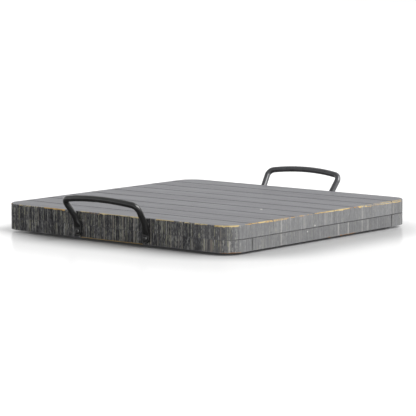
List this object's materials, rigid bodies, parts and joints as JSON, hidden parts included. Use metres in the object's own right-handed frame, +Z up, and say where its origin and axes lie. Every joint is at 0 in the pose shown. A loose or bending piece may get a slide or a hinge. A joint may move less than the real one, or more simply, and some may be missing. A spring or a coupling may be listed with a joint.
{
  "type": "ottoman tray",
  "caption": "Square planked wooden tray with rounded corners, low rubber feet and bent steel rod handles on opposite sides, for carrying things and for resting on an ottoman.",
  "frame": {"origin": "centre of the plane that the feet stand on, under the middle of the tray", "axes": "+Z up, +X across the tray from one handle side to the other, +Y along the planks"},
  "size_m": [0.5346, 0.457, 0.0767],
  "materials": {
    "board_paint": "matte grey paint on rough-sawn boards, worn through to tan wood along the edges",
    "rail_paint": "matte dark grey paint on rough-sawn boards, worn through to tan wood along the bottom edge",
    "black_steel": "glossy black",
    "zinc_steel": "zinc-plated",
    "black_rubber": "matte"
  },
  "bodies": {
    "root": {"plank_1": "board_paint", "plank_2": "board_paint", "plank_3": "board_paint", "plank_4": "board_paint", "plank_5": "board_paint", "plank_6": "board_paint", "plank_7": "board_paint", "plank_8": "board_paint", "plank_9": "board_paint", "side_rail_left": "rail_paint", "side_rail_right": "rail_paint", "end_rail_front": "rail_paint", "end_rail_back": "rail_paint", "handle_left": "black_steel", "handle_right": "black_steel", "handle_left_screw_front": "black_steel", "handle_left_screw_back": "black_steel", "handle_right_screw_front": "black_steel", "handle_right_screw_back": "black_steel", "plank_screw_front_2": "zinc_steel", "plank_screw_front_3": "zinc_steel", "plank_screw_front_4": "zinc_steel", "plank_screw_front_5": "zinc_steel", "plank_screw_front_6": "zinc_steel", "plank_screw_front_7": "zinc_steel", "plank_screw_front_8": "zinc_steel", "plank_screw_back_2": "zinc_steel", "plank_screw_back_3": "zinc_steel", "plank_screw_back_4": "zinc_steel", "plank_screw_back_5": "zinc_steel", "plank_screw_back_6": "zinc_steel", "plank_screw_back_7": "zinc_steel", "plank_screw_back_8": "zinc_steel", "plank_screw_left_front": "zinc_steel", "plank_screw_left_back": "zinc_steel", "plank_screw_right_front": "zinc_steel", "plank_screw_right_back": "zinc_steel", "foot_left_front": "black_rubber", "foot_left_back": "black_rubber", "foot_right_front": "black_rubber", "foot_right_back": "black_rubber"}
  },
  "joints": []
}
